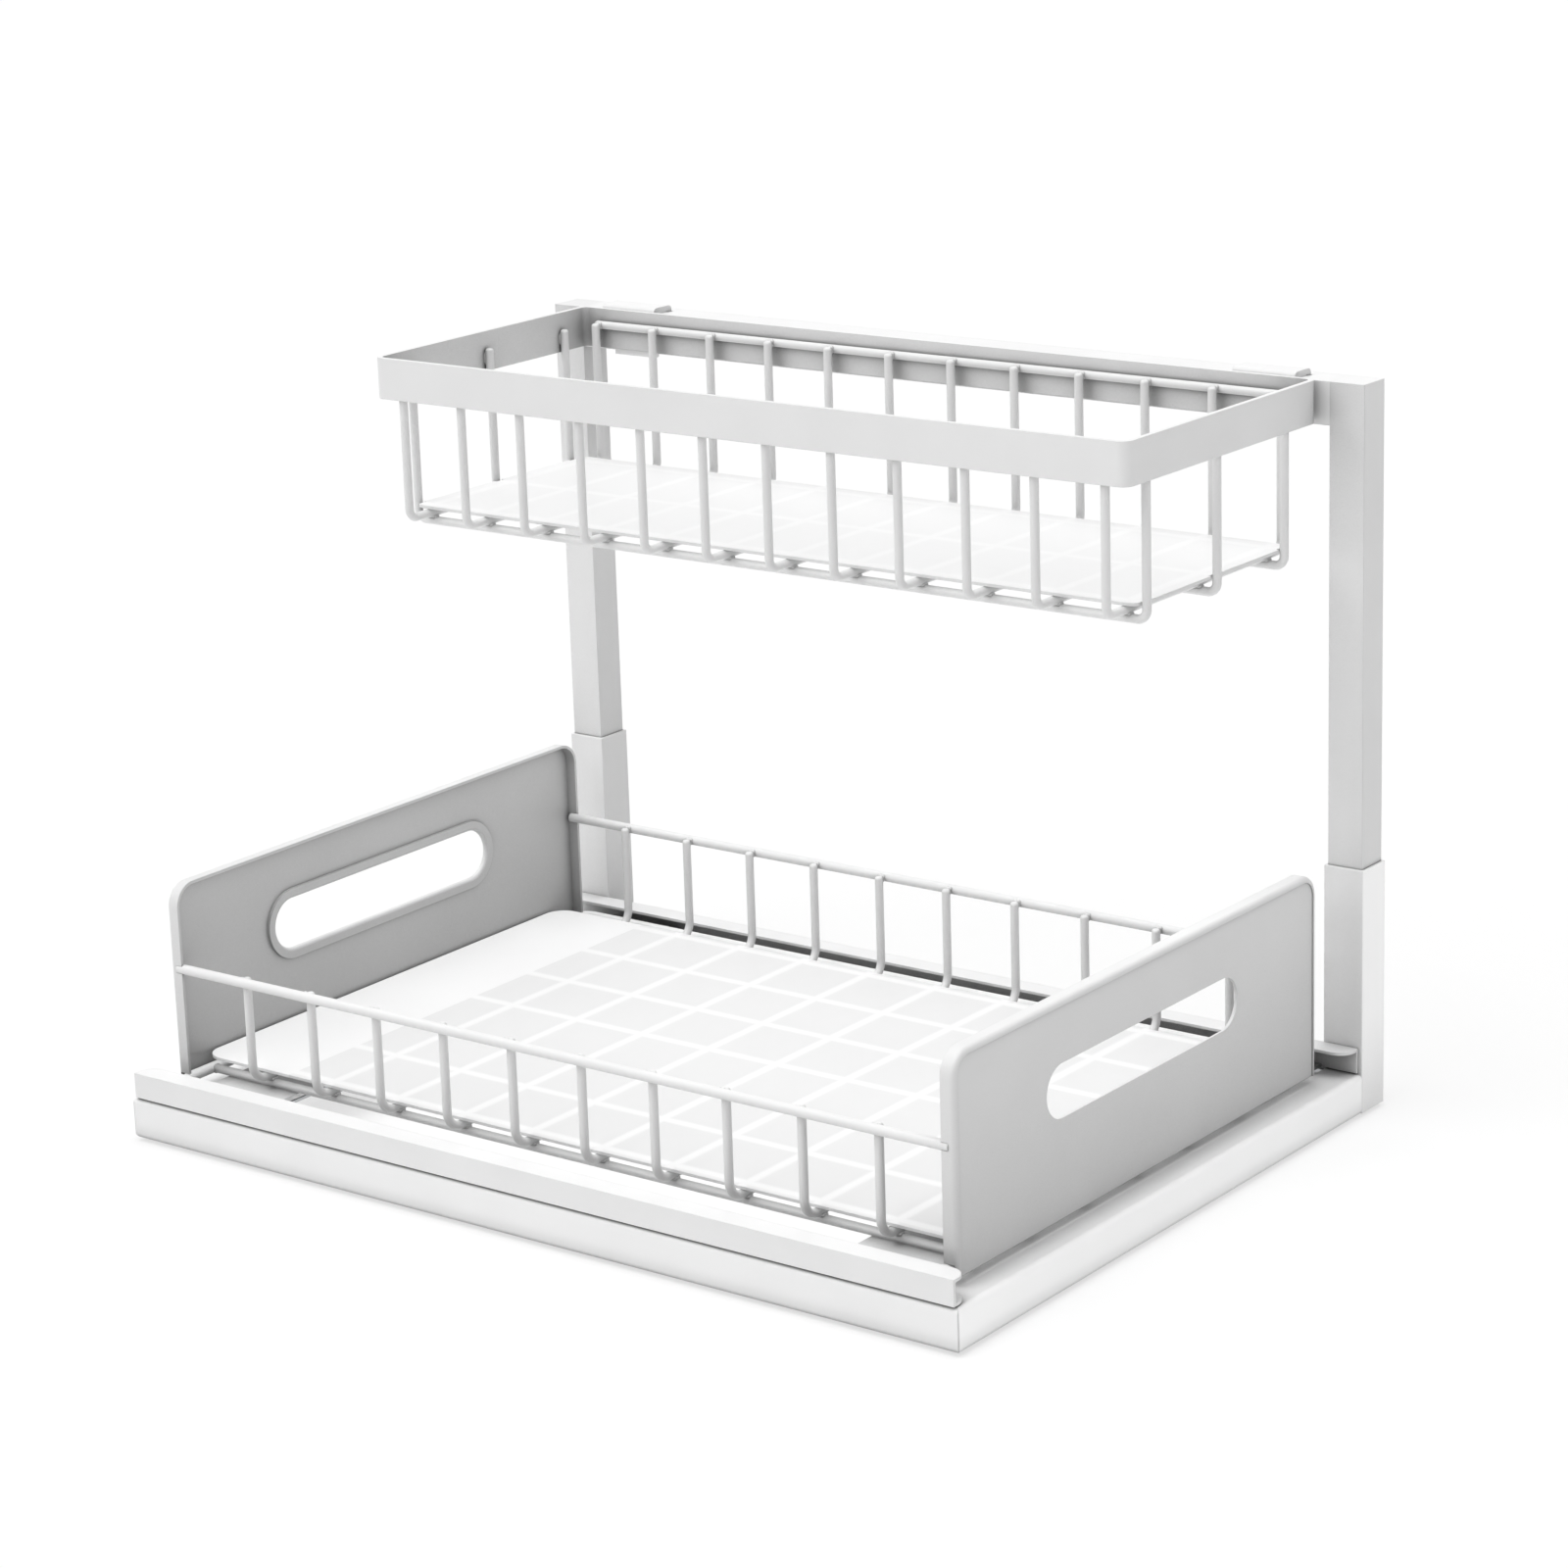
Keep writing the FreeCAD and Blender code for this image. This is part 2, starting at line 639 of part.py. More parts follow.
# front rollers turn on brackets behind the front bar, under the runners
front_roller_y = front_inner + front_roller_setback + front_roller_radius
front_roller_z = runner_bottom - seat_gap - front_roller_radius
bracket_bottom = rail_top - bracket_height
plate_near = runner_middle + front_roller_width / 2 + roller_side_gap
plate_far = plate_near + bracket_sheet
foot_near = plate_far - bracket_foot
for side, sign in SIDES:
    label = "front_%s_bracket" % side
    x_plate = low_side(sign, plate_near, plate_far)
    x_foot = low_side(sign, foot_near, plate_far)
    wall = box(label + "_wall", x_plate, front_inner, bracket_bottom, bracket_sheet, bracket_length,
               bracket_height)
    foot = box(label + "_foot", x_foot, front_inner, bracket_bottom, bracket_foot, bracket_sheet,
               bracket_height)
    shell = fuse(label + "_shell", wall, foot)
    hole = rod(label + "_hole", x_plate - cut_overrun, front_roller_y, front_roller_z, axle_radius,
               bracket_sheet + cut_overrun * 2, ALONG_X)
    keep(cut(label, shell, hole), label)
    axle_near = runner_middle - front_roller_width / 2 - roller_side_gap
    axle_low = low_side(sign, axle_near, plate_far)
    keep(headed_axle("front_%s_axle" % side, axle_low, axle_low + (plate_far - axle_near), front_roller_y,
                     front_roller_z), "front_%s_axle" % side)
    keep(roller("front_%s_roller" % side, low_side(sign, runner_middle - front_roller_width / 2,
                                                   runner_middle + front_roller_width / 2),
                front_roller_width, front_roller_y, front_roller_z, front_roller_radius),
         "front_%s_roller" % side)

# carriage: two C-shaped bars across, joined by two flat runners resting on their lower flanges
carriage_rivets = []


def rivet(name, x, y, bottom, top):
    """A rivet standing upright, its round head above the sheet."""
    shank = rod(name + "_shank", x, y, bottom, rivet_radius, top - bottom, ALONG_Z)
    head = rod(name + "_head", x, y, top, rivet_head_radius, rivet_head_height, ALONG_Z)
    return fuse(name, shank, head)


def rivet_hole(name, x, y, bottom, top):
    return rod(name, x, y, bottom - cut_overrun, rivet_radius + rivet_clearance,
               top - bottom + cut_overrun * 2, ALONG_Z)


flange_middle = bar_sheet + (bar_depth - bar_sheet) / 2
bar_rivet_rows = (("front", front_face + flange_middle), ("rear", carriage_rear - flange_middle))
bracket_plate_near = rail_inner - track_depth - roller_side_gap * 2 - axle_head - bracket_sheet
bracket_plate_far = bracket_plate_near + bracket_sheet
bracket_rivet_x = bracket_plate_far - bracket_foot + rivet_head_radius
runner_holes = {side: [] for side, sign in SIDES}
bar_holes = {end: [] for end, y in bar_rivet_rows}
bracket_holes = {side: [] for side, sign in SIDES}
for side, sign in SIDES:
    for end, y in bar_rivet_rows:
        for number in range(2):
            name = "rivet_%s_%s_%d" % (end, side, number + 1)
            x = runner_middle * sign + spread(2, rivet_pitch, number)
            carriage_rivets.append(rivet(name, x, y, bar_bottom, runner_top))
            runner_holes[side].append(rivet_hole(name + "_runner", x, y, runner_bottom, runner_top))
            bar_holes[end].append(rivet_hole(name + "_flange", x, y, bar_bottom, runner_bottom))
    for number in range(2):
        name = "rivet_bracket_%s_%d" % (side, number + 1)
        x = bracket_rivet_x * sign
        y = rear_roller_y + spread(2, bracket_rivet_pitch, number)
        bottom = runner_bottom - bracket_sheet
        carriage_rivets.append(rivet(name, x, y, bottom, runner_top))
        runner_holes[side].append(rivet_hole(name + "_runner", x, y, runner_bottom, runner_top))
        bracket_holes[side].append(rivet_hole(name + "_bracket", x, y, bottom, runner_bottom))


def cross_bar(name, end, y, rotation, *reliefs):
    """A C-section bar across the carriage, its open side towards the middle of the carriage."""
    body = start_body(name + "_bar")
    outline = start_sketch(body, "outline", "XY_Plane")
    oblong_outline(outline, bar_length, ZERO, bar_depth)
    block = pad(body, outline, bar_height)
    round_edges(body, block, bar_round, lambda edge: edge.CenterOfMass.y > bar_depth.value / 2
                and abs(edge.tangentAt(edge.FirstParameter).z) > upright_share)
    mouth = start_sketch(body, "mouth", "XY_Plane", bar_height - bar_sheet)
    oblong_outline(mouth, bar_length + cut_overrun * 2, bar_sheet, bar_depth - bar_sheet + cut_overrun)
    pocket(body, mouth, bar_height - bar_sheet * 2)
    place(body, ZERO, y, bar_bottom, rotation)
    return cut(name, body, *bar_holes[end], *reliefs)


# the rear bar's lower flange stops short of the side rails
reliefs = [box("rear_bar_relief_" + side, low_side(sign, rail_inner, half_width),
               carriage_rear - bar_depth - cut_overrun, bar_bottom - cut_overrun, rail_width,
               bar_depth - bar_sheet + cut_overrun, bar_sheet + cut_overrun) for side, sign in SIDES]
keep(cross_bar("carriage_front_bar", "front", front_face, ALONG_Z), "carriage_front_bar")
keep(cross_bar("carriage_rear_bar", "rear", carriage_rear, HALF_TURN, *reliefs), "carriage_rear_bar")

for side, sign in SIDES:
    label = side + "_runner"
    strip = box(label + "_strip", runner_middle * sign - runner_width / 2, runner_front, runner_bottom,
                runner_width, runner_length, runner_sheet)
    keep(cut(label, strip, *runner_holes[side]), label)

# rear rollers hang from the runners and run inside the tracks
for side, sign in SIDES:
    label = "rear_%s_bracket" % side
    x_plate = low_side(sign, bracket_plate_near, bracket_plate_far)
    x_foot = low_side(sign, bracket_plate_far - bracket_foot, bracket_plate_far)
    lowest = rail_middle - bracket_height / 2
    y_low = rear_roller_y - bracket_length / 2
    wall = box(label + "_wall", x_plate, y_low, lowest, bracket_sheet, bracket_length,
               runner_bottom - lowest)
    foot = box(label + "_foot", x_foot, y_low, runner_bottom - bracket_sheet, bracket_foot, bracket_length,
               bracket_sheet)
    shell = fuse(label + "_shell", wall, foot)
    hole = rod(label + "_hole", x_plate - cut_overrun, rear_roller_y, rail_middle, axle_radius,
               bracket_sheet + cut_overrun * 2, ALONG_X)
    keep(cut(label, shell, hole, *bracket_holes[side]), label)
    roller_near = rail_inner - track_depth + axle_head * 2
    axle_far = roller_near + rear_roller_width + roller_side_gap
    axle_low = low_side(sign, bracket_plate_near, axle_far)
    keep(headed_axle("rear_%s_axle" % side, axle_low, axle_low + (axle_far - bracket_plate_near),
                     rear_roller_y, rail_middle), "rear_%s_axle" % side)
    keep(roller("rear_%s_roller" % side, low_side(sign, roller_near, roller_near + rear_roller_width),
                rear_roller_width, rear_roller_y, rail_middle, rear_roller_radius), "rear_%s_roller" % side)
keep(group("carriage_rivets", carriage_rivets), "carriage_rivets")

# tray: a bent ring of heavier wire carries the side panels, the cross wires and the floor wires
ring_side = panel_inner - ring_gauge / 2
ring_end = panel_depth / 2 + ring_overhang - ring_gauge / 2
ring_straight_x = ring_side - ring_round
ring_straight_y = ring_end - ring_round
ring_pieces = []
for number, (x_sign, y_sign) in enumerate(((1, 1), (-1, 1), (-1, -1), (1, -1))):
    corner = doc.addObject("Part::Torus", "ring_corner_%d" % (number + 1))
    bind(corner, "Radius1", ring_round)
    bind(corner, "Radius2", ring_gauge / 2)
    corner.Angle3 = 90
    place(corner, ring_straight_x * x_sign, tray_middle + ring_straight_y * y_sign, ring_level,
          Rotation(Vector(0, 0, 1), 90 * number))
    ring_pieces.append(corner)
for side, sign in SIDES:
    ring_pieces.append(rod("ring_%s_run" % side, ring_side * sign, tray_middle - ring_straight_y, ring_level,
                           ring_gauge / 2, ring_straight_y * 2, ALONG_Y))
for end, sign in (("front", -1), ("rear", 1)):
    ring_pieces.append(rod("ring_%s_run" % end, -ring_straight_x, tray_middle + ring_end * sign, ring_level,
                           ring_gauge / 2, ring_straight_x * 2, ALONG_X))
keep(fuse("tray_ring", *ring_pieces), "tray_ring")


def side_panel(name, sign):
    """A sheet pan folded inwards at the top and both ends, with a sunk outer field and a rolled grip."""
    middle = panel_height / 2
    rise = handle_level - panel_bottom - middle
    body = start_body(name + "_pan")
    outline = start_sketch(body, "outline", "YZ_Plane")
    arched_outline(outline, panel_depth, middle, middle, panel_round)
    block = pad(body, outline, rim_depth)
    round_edges(body, block, panel_bend, lambda edge: edge.BoundBox.XMax < rim_depth.value / 2
                and edge.BoundBox.ZMax > 0)
    hollow = start_sketch(body, "hollow", "YZ_Plane", rim_depth)
    arched_outline(hollow, panel_depth - panel_sheet * 2, middle + cut_overrun, middle - panel_sheet,
                   panel_round - panel_sheet)
    pocket(body, hollow, rim_depth - panel_sheet)
    collar = start_sketch(body, "collar", "YZ_Plane", panel_sheet)
    slot_outline(collar, handle_length + collar_width * 2, handle_height + collar_width * 2, rise)
    pad(body, collar, collar_depth)
    collar_face = panel_sheet + collar_depth
    grip = start_sketch(body, "grip", "YZ_Plane", collar_face)
    slot_outline(grip, handle_length, handle_height, rise)
    opened = pocket(body, grip)

    def is_lip(edge):
        bounds = edge.BoundBox
        off_middle = max(bounds.ZMax - rise.value, rise.value - bounds.ZMin)
        inside_collar = off_middle < (handle_height + collar_width).value / 2
        return inside_collar and bounds.XMin > collar_face.value * top_edge_share

    round_edges(body, opened, collar_roll, is_lip)
    field = start_sketch(body, "field", "YZ_Plane", field_drop)
    arched_outline(field, panel_depth - field_edge * 2, middle + cut_overrun, middle - field_edge,
                   panel_round - field_edge)
    pocket(body, field, field_drop)
    turn = HALF_TURN if sign > 0 else ALONG_Z
    return place(body, tray_half * sign, tray_middle, panel_bottom + middle, turn)


# the folded ends stop above the ring and are notched for the ends of the fence rails
rim_inner = tray_half - rim_depth
fence_reach = rim_inner + rim_depth / 2
for side, sign in SIDES:
    label = "tray_%s_panel" % side
    notch_x = low_side(sign, rim_inner - cut_overrun, panel_inner)
    notch_height = ring_top + weld_gap - panel_bottom + cut_overrun
    notches = [box(label + "_ring_notch", notch_x, panel_front - cut_overrun, panel_bottom - cut_overrun,
                   panel_inner - rim_inner + cut_overrun, panel_depth + cut_overrun * 2, notch_height)]
    notch_x = low_side(sign, rim_inner - cut_overrun, fence_reach)
    for end, along in (("front", -1), ("rear", 1)):
        notches.append(rod("%s_%s_notch" % (label, end), notch_x, tray_middle + fence_offset * along,
                           fence_level, fence_gauge / 2 + weld_gap, fence_reach - rim_inner + cut_overrun,
                           ALONG_X))
    keep(cut(label, side_panel(label, sign), *notches), label)

for end, along in (("front", -1), ("rear", 1)):
    keep(rod("tray_%s_fence" % end, -fence_reach, tray_middle + fence_offset * along, fence_level,
             fence_gauge / 2, fence_reach * 2, ALONG_X), "tray_%s_fence" % end)

cross_reach = panel_inner - ring_gauge
for number in range(TRAY_CROSS_WIRES):
    label = "tray_cross_wire_%d" % (number + 1)
    along = tray_middle + spread(TRAY_CROSS_WIRES, tray_cross_pitch, number)
    keep(rod(label, -cross_reach, along, ring_level, wire_gauge / 2, cross_reach * 2, ALONG_X), label)

floor_wires = []
floor_rise = fence_level + fence_gauge / 4 - floor_level
for number in range(FLOOR_WIRES):
    wire = bent_wire("floor_wire_%d" % (number + 1), floor_span, floor_rise, wire_bend)
    floor_wires.append(place(wire, spread(FLOOR_WIRES, floor_pitch, number), tray_middle, floor_level))
keep(group("tray_floor_wires", floor_wires), "tray_floor_wires")

lower_mat = plate("lower_mat", lower_mat_width, lower_mat_depth, mat_sheet, mat_round)
keep(place(lower_mat, ZERO, tray_middle, floor_level + wire_gauge / 2 + seat_gap), "lower_mat")

# upper frame: two posts plugged into the sleeves and a crossbar with two slots for the hooks
for side, sign in SIDES:
    label = side + "_post"
    x_low = low_side(sign, post_inner, post_inner + post_side)
    post_length = frame_top - post_bottom
    bore_side = post_side - post_wall * 2
    outer = box(label + "_outer", x_low, post_front, post_bottom, post_side, post_side, post_length)
    inner = box(label + "_inner", x_low + post_wall, post_front + post_wall, post_bottom - cut_overrun,
                bore_side, bore_side, post_length - post_wall + cut_overrun)
    keep(cut(label, outer, inner), label)

hook_far = post_front + hook_reach
hook_near = hook_far - hook_sheet
slots = []
for side, sign in SIDES:
    slots.append(box("slot_" + side, hook_pitch / 2 * sign - hook_width / 2 - hook_slot_clearance,
                     hook_near - hook_slot_clearance, frame_top - post_wall - cut_overrun,
                     hook_width + hook_slot_clearance * 2, hook_sheet + hook_slot_clearance * 2,
                     post_wall + cut_overrun * 2))
beam = tube("crossbar_tube", -post_inner, post_front, frame_top - crossbar_height, post_inner * 2,
            post_side, crossbar_height, post_wall, "x")
keep(cut("crossbar", beam, *slots), "crossbar")

# basket: a flat band round the top, wires hung inside it and two hooks over the crossbar
band = start_body("basket_band")
outside = start_sketch(band, "outside", "XY_Plane")
rounded_outline(outside, band_width, band_depth, band_round)
pad(band, outside, band_height)
inside = start_sketch(band, "inside", "XY_Plane", band_height)
rounded_outline(inside, band_width - band_sheet * 2, band_depth - band_sheet * 2, band_round - band_sheet)
pocket(band, inside)
keep(place(band, ZERO, band_middle, band_top - band_height), "basket_band")

front_wire = band_front + band_sheet + wire_gauge / 2
rear_wire = band_rear - band_sheet - basket_rail_gauge - wire_gauge / 2
wire_middle = (front_wire + rear_wire) / 2
basket_rise = basket_rail + tip_round - basket_floor
basket_wires = []
for number in range(BASKET_WIRES):
    wire = bent_wire("basket_wire_%d" % (number + 1), rear_wire - front_wire, basket_rise, basket_bend)
    basket_wires.append(place(wire, spread(BASKET_WIRES, basket_pitch, number), wire_middle, basket_floor))
keep(group("basket_wires", basket_wires), "basket_wires")

rail_y = band_rear - band_sheet - basket_rail_gauge / 2
keep(rod("basket_rear_wire", -basket_rail_length / 2, rail_y, basket_rail, basket_rail_gauge / 2,
         basket_rail_length, ALONG_X), "basket_rear_wire")

cross_span = band_width - band_sheet * 2 - wire_gauge
for number in range(BASKET_CROSS_WIRES):
    label = "basket_cross_wire_%d" % (number + 1)
    wire = bent_wire(label, cross_span, basket_tip - basket_cross_level, basket_bend)
    keep(place(wire, ZERO, band_middle + spread(BASKET_CROSS_WIRES, basket_cross_pitch, number),
               basket_cross_level, QUARTER_TURN), label)

# the back of each hook lies on the band, with a narrower tab below it on the side of the middle
hook_top = frame_top + seat_gap + hook_sheet
band_bottom = band_top - band_height
hook_inner = hook_pitch / 2 - hook_width / 2


def bent_strip(name, x):
    """A block as large as the hook, with round bends along its two upper edges."""
    body = start_body(name)
    outline = start_sketch(body, "outline", "XY_Plane")
    oblong_outline(outline, hook_width, ZERO, hook_far - band_rear)
    block = pad(body, outline, hook_top - band_bottom)
    bends_from = block.Shape.BoundBox.ZMax * top_edge_share

    def is_bend(edge):
        bounds = edge.BoundBox
        return bounds.ZMin > bends_from and bounds.XLength > bounds.YLength

    round_edges(body, block, hook_bend, is_bend)
    return place(body, x, band_rear, band_bottom)


for side, sign in SIDES:
    label = side + "_hook"
    x_cut = low_side(sign, hook_inner - cut_overrun, hook_inner + hook_width + cut_overrun)
    x_tab = low_side(sign, hook_inner, hook_inner + hook_tab_width)
    strip = bent_strip(label + "_strip", hook_pitch / 2 * sign)
    under = box(label + "_under", x_cut, band_rear + hook_sheet, band_bottom - cut_overrun,
                hook_width + cut_overrun * 2, hook_near - band_rear - hook_sheet,
                hook_top - hook_sheet - band_bottom + cut_overrun)
    below = box(label + "_below", x_cut, hook_near - cut_overrun, band_bottom - cut_overrun,
                hook_width + cut_overrun * 2, hook_sheet + cut_overrun * 2,
                frame_top - hook_drop - band_bottom + cut_overrun)
    tab = box(label + "_tab", x_tab, band_rear, band_bottom - hook_tab_drop, hook_tab_width, hook_sheet,
              hook_tab_drop + hook_sheet)
    keep(fuse(label, cut(label + "_bent", strip, under, below), tab), label)

# the upper mat is notched round the upright ends of the cross wires
upper_sheet = plate("upper_mat_sheet", upper_mat_width, upper_mat_depth, mat_sheet, upper_mat_round)
upper_mat_level = basket_floor + wire_gauge / 2 + seat_gap
place(upper_sheet, ZERO, wire_middle + upper_mat_shift, upper_mat_level)
notch_near = cross_span / 2 - wire_gauge / 2 - notch_clearance
notch_far = upper_mat_width / 2 + cut_overrun
notch_width = wire_gauge + notch_clearance * 2
notches = []
for side, sign in SIDES:
    notch_x = low_side(sign, notch_near, notch_far)
    for number in range(BASKET_CROSS_WIRES):
        along = band_middle + spread(BASKET_CROSS_WIRES, basket_cross_pitch, number)
        notches.append(box("upper_mat_%s_notch_%d" % (side, number + 1), notch_x, along - notch_width / 2,
                           upper_mat_level - cut_overrun, notch_far - notch_near, notch_width,
                           mat_sheet + cut_overrun * 2))
keep(cut("upper_mat", upper_sheet, *notches), "upper_mat")

doc.recompute()
faults = [thing.Label for thing in doc.Objects if "Invalid" in thing.State or "Error" in thing.State]
for thing in nodes:
    if thing.Shape.isNull() or not thing.Shape.isValid() or not thing.Shape.Solids:
        faults.append(thing.Label)
if faults:
    raise RuntimeError("faulty pieces: " + ", ".join(faults))

os.makedirs("parts", exist_ok=True)
for thing in nodes:
    thing.Shape.exportStep(os.path.join("parts", thing.Label + ".step"))
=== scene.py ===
import json
import math

import bmesh
import bpy
from mathutils import Matrix, Vector


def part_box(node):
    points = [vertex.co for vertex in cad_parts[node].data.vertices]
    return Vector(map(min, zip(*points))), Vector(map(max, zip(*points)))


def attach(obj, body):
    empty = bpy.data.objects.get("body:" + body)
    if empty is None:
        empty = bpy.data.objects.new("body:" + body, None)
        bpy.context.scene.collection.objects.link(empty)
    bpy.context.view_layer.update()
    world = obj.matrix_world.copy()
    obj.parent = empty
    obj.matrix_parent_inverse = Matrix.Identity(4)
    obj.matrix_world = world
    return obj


# Looks of the two-tier under sink organizer: white powder coat on tube, sheet and wire, zinc plate on the
# hidden running gear, frosted liner mats, and the small weld beads that hold the wires together.
# Lengths are in metres and +Z is up.

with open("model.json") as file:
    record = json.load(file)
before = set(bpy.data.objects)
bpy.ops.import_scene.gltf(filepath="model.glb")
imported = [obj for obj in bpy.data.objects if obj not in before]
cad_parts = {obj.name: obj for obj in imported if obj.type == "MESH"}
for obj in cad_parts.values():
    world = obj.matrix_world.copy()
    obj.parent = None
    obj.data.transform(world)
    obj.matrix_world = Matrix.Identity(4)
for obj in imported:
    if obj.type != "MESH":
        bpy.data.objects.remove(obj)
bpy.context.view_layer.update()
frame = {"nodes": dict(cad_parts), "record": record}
nodes = frame["nodes"]
bodies = frame["record"]["behaviour"]["bodies"]
scene = bpy.context.scene

# camera fitted to the corners of the frame in the photograph
CAMERA_PLACE = Vector((1.001253, -1.288339, 0.608861))
CAMERA_YAW = math.radians(37.348)
CAMERA_PITCH = math.radians(-16.025)
CAMERA_ROLL = math.radians(-1.873)
CAMERA_LENS = 99.72
SENSOR_WIDTH = 36.0

# colours are linear
PAINT = (0.88, 0.88, 0.88)
# painted light: the base rails and sleeves get the one white painted lighter
LIGHTENED_BASE_PAINT = (0.95, 0.95, 0.95)
# painted shade: the panels get the one white painted darker
DARKENED_PANEL_PAINT = (0.84, 0.84, 0.84)
BAND_PAINT = (0.91, 0.91, 0.91)
WIRE_PAINT = (0.87, 0.87, 0.87)
ZINC = (0.60, 0.61, 0.62)
NYLON = (0.80, 0.80, 0.78)
MAT = (0.90, 0.90, 0.90)
# painted shade: the squares of each mat between the wires, as the shaded space under it would show through
LOWER_MAT_SHADE = (0.79, 0.79, 0.79)
UPPER_MAT_SHADE = (0.86, 0.86, 0.86)
RUBBER = (0.62, 0.62, 0.61)
FLOOR = (0.90, 0.90, 0.90)
FLOOR_SEEN = (0.32, 0.32, 0.32)
WHITE = (1.0, 1.0, 1.0)

# roughness of each paint, and the radius to which its sharp edges look rounded
SATIN = (0.42, 0.0005)
BASE_SATIN = (0.34, 0.0008)
SLEEVE_SATIN = (0.34, 0.0005)
PANEL_SATIN = (0.44, 0.0004)
WIRE_SATIN = (0.36, 0.0003)

# roughness of the other surfaces
ZINC_ROUGHNESS = 0.34
NYLON_ROUGHNESS = 0.46
MAT_ROUGHNESS = 0.5
RUBBER_ROUGHNESS = 0.85

# clouds in the tone: waves per metre, detail, and the shares of the colour between which they run
COAT_CLOUDS = (28.0, 2.0, 0.975, 1.01)
NYLON_CLOUDS = (90.0, 3.0, 0.95, 1.02)
MAT_CLOUDS = (18.0, 2.0, 0.985, 1.0)
RUBBER_CLOUDS = (140.0, 3.0, 0.88, 1.05)

# changes of roughness: waves per metre, and how far it falls and rises
COAT_SHEEN = (160.0, -0.05, 0.06)
NYLON_SHEEN = (420.0, -0.06, 0.08)
MAT_SHEEN = (240.0, -0.06, 0.06)
RUBBER_SHEEN = (500.0, -0.07, 0.07)

# relief: waves per metre, detail, depth and strength
COAT_PEEL = (1200.0, 2.0, 0.00012, 0.16)
COAT_RIPPLE = (240.0, 1.0, 0.00025, 0.06)
NYLON_GRAIN = (2200.0, 3.0, 0.00006, 0.2)
MAT_GRAIN = (1500.0, 2.0, 0.00008, 0.2)
RUBBER_GRAIN = (1800.0, 3.0, 0.0001, 0.3)

# zinc plate: spangles per metre and shares of the colour in them, and streaks drawn along the tracks
SPANGLES = 260.0
SPANGLE_TONES = (0.9, 1.08)
STREAKS = (1200.0, 2.0, (1.0, 0.03, 1.0))
STREAK_ROUGHNESS = (0.26, 0.44)
STREAK_RELIEF = (0.00004, 0.25)

# nylon: weight and depth of the light under its skin, and marks per metre from turning, with their waver
NYLON_SKIN = (0.08, 0.002)
MARKS = 300.0
MARK_WAVER = 0.6
MARK_RELIEF = (0.00005, 0.18)

# mats: gloss, radius of their edges, and depth and strength of their sag between the wires
MAT_GLOSS = 0.15
MAT_EDGE = 0.0004
SAG_RELIEF = (0.0002, 0.3)

# values between which noise mostly stays, share of free view from which a face gets no painted shade, and
# samples
NOISE_SPAN = (0.3, 0.7)
OPEN_VIEW = 0.9
VIEW_SAMPLES = 8
EDGE_SAMPLES = 6

# lamps: strength, spread in degrees and the way the light goes
TOP_LAMP = (2.06, 60.0, (0.0, 0.0, -1.0))
FRONT_LAMP = (1.27, 60.0, (0.3, 0.65, -0.7))
RIGHT_LAMP = (0.42, 60.0, (-0.68, -0.15, -0.7))
LOW_LAMP = (0.95, 16.0, (-0.99, 0.0, -0.14))
WORLD_LIGHT = 0.04

# floor: half its side, its level just below the feet, and its own light to the eye
FLOOR_HALF = 12.0
FLOOR_LEVEL = -0.0002
FLOOR_GLOW = 0.67

# painted shade: how near other faces stand before the paint is darkened, and how dark it gets there
CREVICE = (0.006, 0.45)
SEAM = (0.004, 0.55)
CHANNEL = (0.018, 0.10)
LEDGE = (0.012, 0.3)
CONTACT = (0.003, 0.2)
NOOK = (0.06, 0.5)
INSIDE = (0.13, 0.22)
RAIL_SHADE = (0.035, 0.52)
BAND_INSIDE = (0.12, 0.02)
WIRE_INSIDE = (0.11, 0.55)

# how many wires each floor has, and how wide the lines over them are left free of painted shade on the mat
# that lies on them
TRAY_FLOOR_WIRES = 10
TRAY_CROSS_WIRES = ["tray_cross_wire_%d" % number for number in range(1, 8)]
BASKET_FLOOR_WIRES = 12
BASKET_CROSS_WIRES = ["basket_cross_wire_%d" % number for number in range(1, 4)]
RULE_HALF_WIDTH = 0.0020
RULE_BLUR = 0.0012

# weld beads: sides of each, shares of its thickness at which it has a ring, wedges between the wires,
# bulges that make its rim uneven, how large they are and how far they turn from bead to bead
BEAD_SIDES = 12
BEAD_RINGS = (-0.85, -0.35, 0.35, 0.85)
BEAD_WEDGES = 4
BEAD_BULGES = 2
BEAD_UNEVEN = 0.06
BEAD_TURN = 2.4

# each kind of bead: its half sizes, and how far its rim swells into the wedges
CROSSING_BEAD = ((0.0020, 0.0020, 0.0008), 0.25)
RING_BEAD = ((0.0007, 0.0021, 0.0021), 0.06)
RAIL_BEAD = ((0.0019, 0.0007, 0.0018), 0.25)
BAND_BEAD = ((0.0017, 0.0008, 0.0032), 0.1)
BAND_SIDE_BEAD = ((0.0008, 0.0017, 0.0032), 0.1)


def make_camera():
    """The photograph's camera."""
    yaw, pitch = CAMERA_YAW, CAMERA_PITCH
    ahead = Vector((-math.sin(yaw) * math.cos(pitch), math.cos(yaw) * math.cos(pitch), math.sin(pitch)))
    level = Vector((math.cos(yaw), math.sin(yaw), 0.0))
    upright = level.cross(ahead)
    right = math.cos(CAMERA_ROLL) * level + math.sin(CAMERA_ROLL) * upright
    up = -math.sin(CAMERA_ROLL) * level + math.cos(CAMERA_ROLL) * upright
    data = bpy.data.cameras.new("camera")
    data.lens = CAMERA_LENS
    data.sensor_fit = "HORIZONTAL"
    data.sensor_width = SENSOR_WIDTH
    camera = bpy.data.objects.new("camera", data)
    turn = Matrix((right, up, -ahead)).transposed().to_4x4()
    camera.matrix_world = Matrix.Translation(CAMERA_PLACE) @ turn
    scene.collection.objects.link(camera)
    scene.camera = camera


